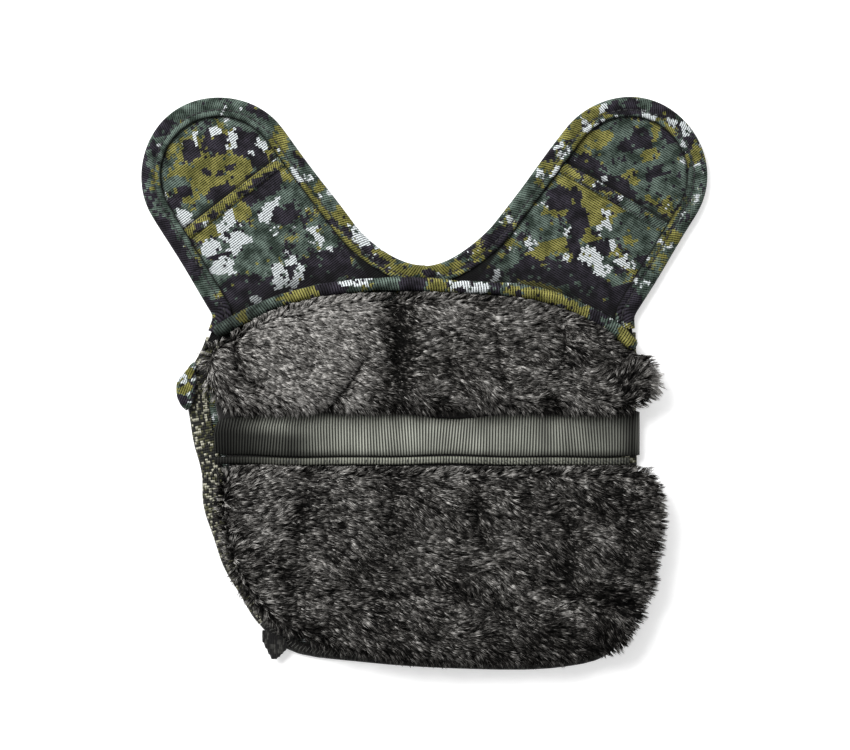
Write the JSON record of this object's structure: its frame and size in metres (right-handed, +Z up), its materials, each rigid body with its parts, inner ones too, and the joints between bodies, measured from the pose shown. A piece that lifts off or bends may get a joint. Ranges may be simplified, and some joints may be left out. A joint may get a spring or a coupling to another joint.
{
  "type": "fur-lined face mask",
  "caption": "Soft cold-weather face mask, laid open with its fur lining up; camouflage twill shell, ribbed breathing ribbon and cheek lobes with ear-flap pockets.",
  "frame": {"origin": "bottom centre of the open mask's bounding box, on the table", "axes": "+Z up out of the table and out of the fur side, +Y from the chin hem to the two cheek lobes, +X to the right seen from the fur side"},
  "size_m": [0.2834, 0.2869, 0.0206],
  "materials": {
    "camo_twill": "matte cotton-blend twill with a stepped camouflage print of green-grey, near-black, olive and off-white",
    "camo_binding": "matte bias-cut camouflage twill, folded and topstitched",
    "fur": "short dense grey-brown faux fur, soft sheen along the pile",
    "ribbon": "satin grey-green grosgrain with fine crosswise ribs",
    "side_tape": "speckled woven tape, matte",
    "dark_trim": "near-black matte overlocked cloth",
    "wadding": "off-white polyester wadding, hidden"
  },
  "bodies": {
    "body": {"outer_shell": "camo_twill", "wadding": "wadding", "upper_fur_panel": "fur", "lower_fur_panel": "fur", "top_edge_roll": "camo_binding", "breathing_ribbon": "ribbon", "ribbon_stay_tape": "ribbon", "neck_facing": "camo_twill", "neck_binding": "camo_binding", "left_side_tape": "side_tape", "right_side_tape": "side_tape", "chin_hem": "dark_trim", "chin_tab": "dark_trim", "left_cheek_fold": "camo_twill"},
    "left_lobe": {"left_lobe_back": "camo_twill", "left_pocket_lining": "camo_twill", "left_lobe_front": "camo_twill", "left_pocket_hem": "camo_binding", "left_outer_binding": "camo_binding", "left_inner_binding": "camo_binding"},
    "left_tip": {"left_tip_back": "camo_twill", "left_tip_lining": "camo_twill", "left_tip_binding": "camo_binding"},
    "right_lobe": {"right_lobe_back": "camo_twill", "right_pocket_lining": "camo_twill", "right_lobe_front": "camo_twill", "right_pocket_hem": "camo_binding", "right_outer_binding": "camo_binding", "right_inner_binding": "camo_binding"},
    "right_tip": {"right_tip_back": "camo_twill", "right_tip_lining": "camo_twill", "right_tip_binding": "camo_binding"}
  },
  "joints": [
    {"name": "left_lobe_fold", "type": "hinge", "parent": "body", "child": "left_lobe", "pos_m": [-0.0706, 0.0573, 0.0054], "axis": [0.8271, 0.5621, 0], "range_deg": [0, 110]},
    {"name": "left_tip_fold", "type": "hinge", "parent": "left_lobe", "child": "left_tip", "pos_m": [-0.09873, 0.0937, 0.00585], "axis": [0.7912, 0.6115, 0], "range_deg": [0, 100]},
    {"name": "right_lobe_fold", "type": "hinge", "parent": "body", "child": "right_lobe", "pos_m": [0.0706, 0.0573, 0.0054], "axis": [0.8271, -0.5621, 0], "range_deg": [0, 110]},
    {"name": "right_tip_fold", "type": "hinge", "parent": "right_lobe", "child": "right_tip", "pos_m": [0.09408, 0.09685, 0.00585], "axis": [0.8599, -0.5105, 0], "range_deg": [0, 100]}
  ]
}
